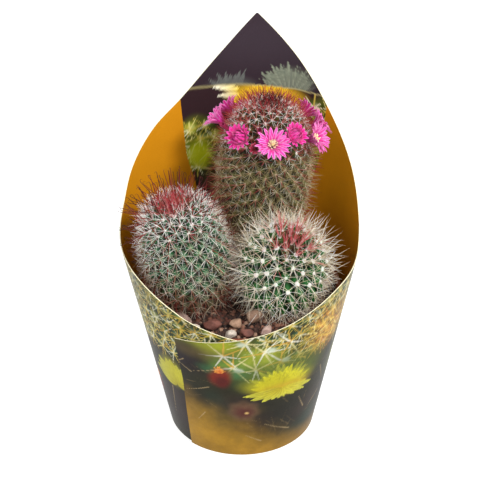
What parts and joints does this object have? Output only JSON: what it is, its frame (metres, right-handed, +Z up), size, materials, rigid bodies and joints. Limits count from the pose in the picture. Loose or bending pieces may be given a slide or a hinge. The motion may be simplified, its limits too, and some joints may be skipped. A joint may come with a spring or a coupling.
{
  "type": "potted round cactus group",
  "caption": "Round cacti, one of them flowering, in a small plastic pot with grit and stones, inside a pointed conical card sleeve.",
  "frame": {"origin": "centre of the pot's underside, on the surface that the pot and the sleeve stand on", "axes": "+Z up; -Y is the front, the side where the sleeve is low; +Y is the side of the sleeve's point; +X is to the right seen from the front"},
  "size_m": [0.1229, 0.1354, 0.2015],
  "materials": {
    "printed_card": "satin",
    "pot_plastic": "satin",
    "soil": "matte",
    "grit": "matte",
    "flesh_deep_green": "satin",
    "flesh_grey_green": "satin",
    "flesh_olive": "satin",
    "petals": "matte",
    "buds": "matte",
    "stone_red": "matte",
    "stone_tan": "matte",
    "stone_pink_grey": "matte",
    "stone_pale": "matte"
  },
  "bodies": {
    "root": {"card_sleeve": "printed_card", "nursery_pot": "pot_plastic", "potting_soil": "soil", "grit_layer": "grit", "cactus_front_right": "flesh_deep_green", "cactus_front_left": "flesh_grey_green", "cactus_tall": "flesh_olive", "flower_01": "petals", "flower_02": "petals", "flower_03": "petals", "flower_04": "petals", "flower_05": "petals", "flower_06": "petals", "flower_07": "petals", "flower_08": "petals", "flower_09": "petals", "flower_10": "petals", "flower_11": "petals", "flower_bud_1": "buds", "flower_bud_2": "buds", "flower_bud_3": "buds", "spent_flower": "buds", "stone_01": "stone_red", "stone_02": "stone_tan", "stone_03": "stone_pink_grey", "stone_04": "stone_pale", "stone_05": "stone_red", "stone_06": "stone_tan", "stone_07": "stone_pink_grey", "stone_08": "stone_pale", "stone_09": "stone_red", "stone_10": "stone_tan", "stone_11": "stone_pink_grey", "stone_12": "stone_pale", "stone_13": "stone_red", "stone_14": "stone_tan", "stone_15": "stone_pink_grey"}
  },
  "joints": []
}
